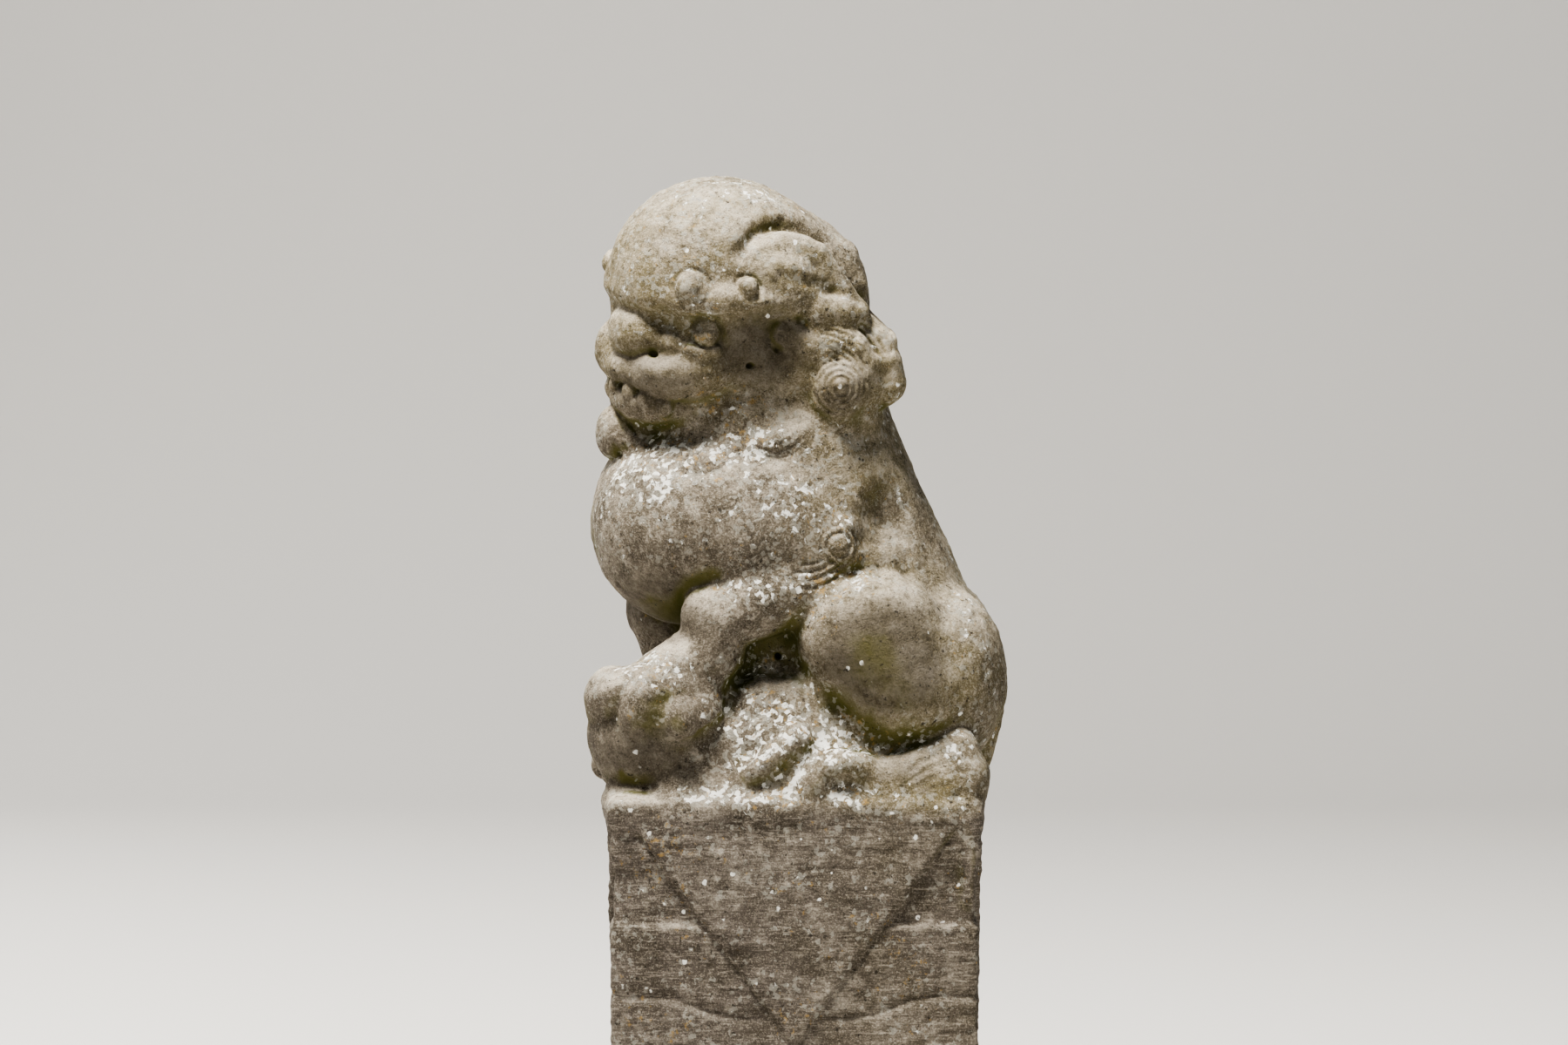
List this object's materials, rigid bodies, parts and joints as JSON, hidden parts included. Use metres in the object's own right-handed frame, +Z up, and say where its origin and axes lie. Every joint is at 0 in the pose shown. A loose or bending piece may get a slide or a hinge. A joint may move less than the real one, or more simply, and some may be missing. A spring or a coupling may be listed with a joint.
{
  "type": "stone guardian lion",
  "caption": "Weathered stone guardian lion seated on the carved square top of a post, head turned aside and one forepaw on a ball.",
  "frame": {"origin": "middle of the block's flat underside", "axes": "+Z up, -X toward the lion's chest, -Y toward the flank whose paw is on the ball"},
  "size_m": [0.2397, 0.1838, 0.5387],
  "materials": {
    "stone": "weathered, with lichen and algae"
  },
  "bodies": {
    "root": {"guardian_lion_on_block": "stone"}
  },
  "joints": []
}
